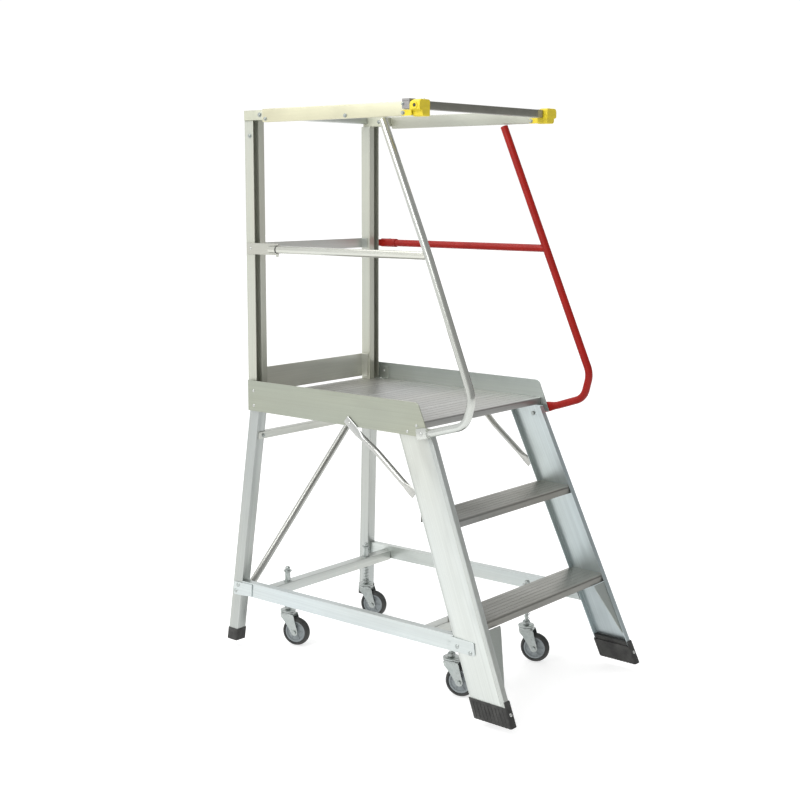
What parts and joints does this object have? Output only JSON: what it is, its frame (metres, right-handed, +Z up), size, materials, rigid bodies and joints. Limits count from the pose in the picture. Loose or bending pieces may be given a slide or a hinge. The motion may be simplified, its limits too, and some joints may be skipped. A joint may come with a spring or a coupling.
{
  "type": "rolling warehouse ladder",
  "caption": "Mobile platform ladder with wide steps, a guarded standing platform, a swing gate bar and sprung swivel castors under rubber feet.",
  "frame": {"origin": "centre of the footprint of the whole ladder, on the floor that its castors stand on", "axes": "+Z up, +X to the right of somebody climbing, +Y to the rear, away from the steps"},
  "size_m": [0.7386, 1.2204, 1.8498],
  "materials": {
    "aluminium": "brushed extruded",
    "red": "gloss powder coat",
    "yellow": "moulded satin",
    "gate_grey": "satin",
    "rubber": "matt moulded",
    "zinc": "zinc plated",
    "castor_tyre": "matt rubber",
    "castor_wheel": "moulded satin"
  },
  "bodies": {
    "frame": {"base_rail_left": "aluminium", "base_rail_right": "aluminium", "castor_crossbar_front": "aluminium", "castor_crossbar_rear": "aluminium", "corner_connector_left": "aluminium", "corner_connector_right": "aluminium", "gate_catch_bracket": "yellow", "gate_hinge_bracket": "yellow", "gate_pin": "zinc", "handrail_left": "aluminium", "handrail_right": "red", "knee_gusset_left": "aluminium", "knee_gusset_right": "aluminium", "mid_rail_left": "aluminium", "mid_rail_right": "red", "platform_deck": "aluminium", "post_left": "aluminium", "post_right": "aluminium", "rear_cross_member": "aluminium", "rear_diagonal_brace": "aluminium", "rear_leg_foot_left": "rubber", "rear_leg_foot_right": "rubber", "rear_leg_left": "aluminium", "rear_leg_right": "aluminium", "rear_mid_rail": "aluminium", "rear_top_rail": "aluminium", "side_brace_left": "aluminium", "side_brace_right": "aluminium", "step_lower": "aluminium", "step_upper": "aluminium", "stile_foot_left": "rubber", "stile_foot_right": "rubber", "stile_left": "aluminium", "stile_right": "aluminium", "toe_board_left": "aluminium", "toe_board_rear": "aluminium", "toe_board_right": "aluminium", "top_rail_left": "aluminium", "top_rail_right": "aluminium"},
    "gate": {"gate_bar": "gate_grey"},
    "castor_rear_left_stem": {"castor_rear_left_stem": "zinc", "castor_rear_left_spring": "zinc"},
    "castor_rear_left_fork": {"castor_rear_left_fork": "zinc"},
    "castor_rear_left_wheel": {"castor_rear_left_hub": "castor_wheel", "castor_rear_left_tyre": "castor_tyre"},
    "castor_rear_right_stem": {"castor_rear_right_stem": "zinc", "castor_rear_right_spring": "zinc"},
    "castor_rear_right_fork": {"castor_rear_right_fork": "zinc"},
    "castor_rear_right_wheel": {"castor_rear_right_hub": "castor_wheel", "castor_rear_right_tyre": "castor_tyre"},
    "castor_front_left_stem": {"castor_front_left_stem": "zinc", "castor_front_left_spring": "zinc"},
    "castor_front_left_fork": {"castor_front_left_fork": "zinc"},
    "castor_front_left_wheel": {"castor_front_left_hub": "castor_wheel", "castor_front_left_tyre": "castor_tyre"},
    "castor_front_right_stem": {"castor_front_right_stem": "zinc", "castor_front_right_spring": "zinc"},
    "castor_front_right_fork": {"castor_front_right_fork": "zinc"},
    "castor_front_right_wheel": {"castor_front_right_hub": "castor_wheel", "castor_front_right_tyre": "castor_tyre"}
  },
  "joints": [
    {"name": "gate_swing", "type": "hinge", "parent": "frame", "child": "gate", "pos_m": [-0.3025, -0.21075, 1.829], "axis": [0, 0, 1], "range_deg": [0, 90], "stiffness_Nm_per_rad": 0.6, "springref_deg": -17.19},
    {"name": "castor_rear_left_press", "type": "slide", "parent": "frame", "child": "castor_rear_left_stem", "axis": [0, 0, 1], "range_m": [0, 0.03], "stiffness_N_per_m": 3000, "springref_m": -0.035, "deforming": ["castor_rear_left_spring"]},
    {"name": "castor_rear_left_swivel", "type": "hinge", "parent": "castor_rear_left_stem", "child": "castor_rear_left_fork", "pos_m": [-0.207, 0.46575, 0.1197], "axis": [0, 0, 1], "continuous": true},
    {"name": "castor_rear_left_spin", "type": "hinge", "parent": "castor_rear_left_fork", "child": "castor_rear_left_wheel", "pos_m": [-0.19653, 0.43551, 0.05], "axis": [0.9449, 0.3272, 0], "continuous": true},
    {"name": "castor_rear_right_press", "type": "slide", "parent": "frame", "child": "castor_rear_right_stem", "axis": [0, 0, 1], "range_m": [0, 0.03], "stiffness_N_per_m": 3000, "springref_m": -0.035, "deforming": ["castor_rear_right_spring"]},
    {"name": "castor_rear_right_swivel", "type": "hinge", "parent": "castor_rear_right_stem", "child": "castor_rear_right_fork", "pos_m": [0.207, 0.46575, 0.1197], "axis": [0, 0, 1], "continuous": true},
    {"name": "castor_rear_right_spin", "type": "hinge", "parent": "castor_rear_right_fork", "child": "castor_rear_right_wheel", "pos_m": [0.21747, 0.43551, 0.05], "axis": [0.9449, 0.3272, 0], "continuous": true},
    {"name": "castor_front_left_press", "type": "slide", "parent": "frame", "child": "castor_front_left_stem", "axis": [0, 0, 1], "range_m": [0, 0.03], "stiffness_N_per_m": 3000, "springref_m": -0.035, "deforming": ["castor_front_left_spring"]},
    {"name": "castor_front_left_swivel", "type": "hinge", "parent": "castor_front_left_stem", "child": "castor_front_left_fork", "pos_m": [-0.207, -0.26225, 0.1197], "axis": [0, 0, 1], "continuous": true},
    {"name": "castor_front_left_spin", "type": "hinge", "parent": "castor_front_left_fork", "child": "castor_front_left_wheel", "pos_m": [-0.19653, -0.29249, 0.05], "axis": [0.9449, 0.3272, 0], "continuous": true},
    {"name": "castor_front_right_press", "type": "slide", "parent": "frame", "child": "castor_front_right_stem", "axis": [0, 0, 1], "range_m": [0, 0.03], "stiffness_N_per_m": 3000, "springref_m": -0.035, "deforming": ["castor_front_right_spring"]},
    {"name": "castor_front_right_swivel", "type": "hinge", "parent": "castor_front_right_stem", "child": "castor_front_right_fork", "pos_m": [0.207, -0.26225, 0.1197], "axis": [0, 0, 1], "continuous": true},
    {"name": "castor_front_right_spin", "type": "hinge", "parent": "castor_front_right_fork", "child": "castor_front_right_wheel", "pos_m": [0.21747, -0.29249, 0.05], "axis": [0.9449, 0.3272, 0], "continuous": true}
  ]
}
